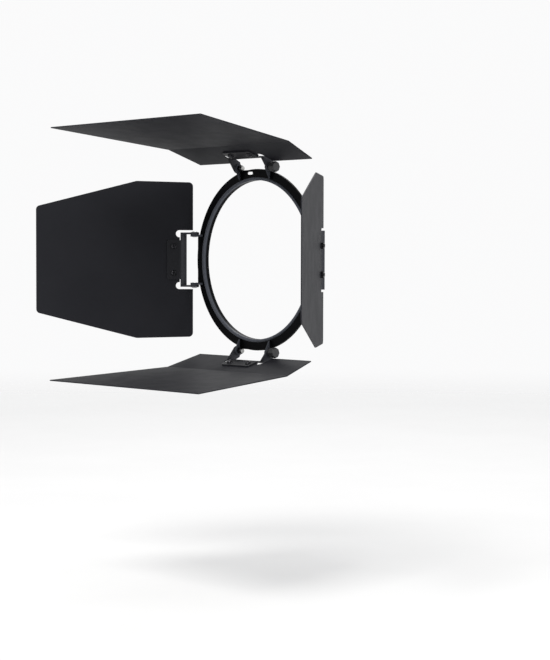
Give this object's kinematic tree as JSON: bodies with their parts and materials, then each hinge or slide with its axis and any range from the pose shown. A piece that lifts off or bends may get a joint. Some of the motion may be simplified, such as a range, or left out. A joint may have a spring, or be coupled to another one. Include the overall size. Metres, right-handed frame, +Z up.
{
  "type": "barn door attachment",
  "caption": "Barn door for a round Fresnel stage lamp: a ring frame that carries hinged black leaves, held by friction pivots and clamp knobs, to shape the beam.",
  "frame": {"origin": "centre of the ring's aperture, in the plane of the rear seat of its rim", "axes": "+Y along the beam axis towards the lamp, so the light leaves towards -Y; +Z up; +X to the right seen from the front of the lamp looking back"},
  "size_m": [0.5325, 0.242, 0.344],
  "materials": {
    "leaf_powder_coat": "matte black powder coat, fine grained",
    "ring_powder_coat": "satin black powder coat",
    "bracket_powder_coat": "satin black powder coat, worn at the bends",
    "bright_steel": "bright zinc",
    "dark_steel": "black zinc",
    "spring_steel": "spring steel",
    "friction_nylon": "black nylon",
    "knob_plastic": "moulded black nylon, fine texture",
    "insert_brass": "turned brass"
  },
  "bodies": {
    "frame": {"ring_frame": "ring_powder_coat", "top_friction_washers": "friction_nylon", "top_disc_springs": "spring_steel", "top_pivot_bolt": "bright_steel", "top_clamp_bolt": "bright_steel", "top_pivot_nut": "dark_steel", "bottom_friction_washers": "friction_nylon", "bottom_disc_springs": "spring_steel", "bottom_pivot_bolt": "bright_steel", "bottom_clamp_bolt": "bright_steel", "bottom_pivot_nut": "dark_steel", "left_friction_washers": "friction_nylon", "left_disc_springs": "spring_steel", "left_pivot_rivets": "bright_steel", "right_friction_washers": "friction_nylon", "right_disc_springs": "spring_steel", "right_pivot_rivets": "bright_steel"},
    "top_leaf_body": {"top_leaf": "leaf_powder_coat", "top_bracket": "bracket_powder_coat", "top_leaf_screws": "dark_steel", "top_leaf_nuts": "dark_steel"},
    "bottom_leaf_body": {"bottom_leaf": "leaf_powder_coat", "bottom_bracket": "bracket_powder_coat", "bottom_leaf_screws": "dark_steel", "bottom_leaf_nuts": "dark_steel"},
    "left_leaf_body": {"left_leaf": "leaf_powder_coat", "left_bracket": "bracket_powder_coat", "left_leaf_screws": "dark_steel", "left_leaf_nuts": "dark_steel"},
    "right_leaf_body": {"right_leaf": "leaf_powder_coat", "right_bracket": "bracket_powder_coat", "right_leaf_screws": "dark_steel", "right_leaf_nuts": "dark_steel"},
    "top_knob_body": {"top_knob": "knob_plastic", "top_knob_insert": "insert_brass"},
    "bottom_knob_body": {"bottom_knob": "knob_plastic", "bottom_knob_insert": "insert_brass"}
  },
  "joints": [
    {"name": "top_leaf_hinge", "type": "hinge", "parent": "frame", "child": "top_leaf_body", "pos_m": [0, -0.007, 0.1265], "axis": [-1, 0, 0], "range_deg": [-43.5, 78.5]},
    {"name": "bottom_leaf_hinge", "type": "hinge", "parent": "frame", "child": "bottom_leaf_body", "pos_m": [0, -0.007, -0.1265], "axis": [1, 0, 0], "range_deg": [-40, 82]},
    {"name": "left_leaf_hinge", "type": "hinge", "parent": "frame", "child": "left_leaf_body", "pos_m": [-0.1265, -0.007, 0], "axis": [0, 0, -1], "range_deg": [-121, 67]},
    {"name": "right_leaf_hinge", "type": "hinge", "parent": "frame", "child": "right_leaf_body", "pos_m": [0.1265, -0.007, 0], "axis": [0, 0, 1], "range_deg": [-103.5, 60.5]},
    {"name": "top_knob_turn", "type": "hinge", "parent": "frame", "child": "top_knob_body", "pos_m": [0, -0.007, 0.1265], "axis": [1, 0, 0], "range_deg": [0, 270]},
    {"name": "bottom_knob_turn", "type": "hinge", "parent": "frame", "child": "bottom_knob_body", "pos_m": [0, -0.007, -0.1265], "axis": [1, 0, 0], "range_deg": [0, 270]}
  ]
}
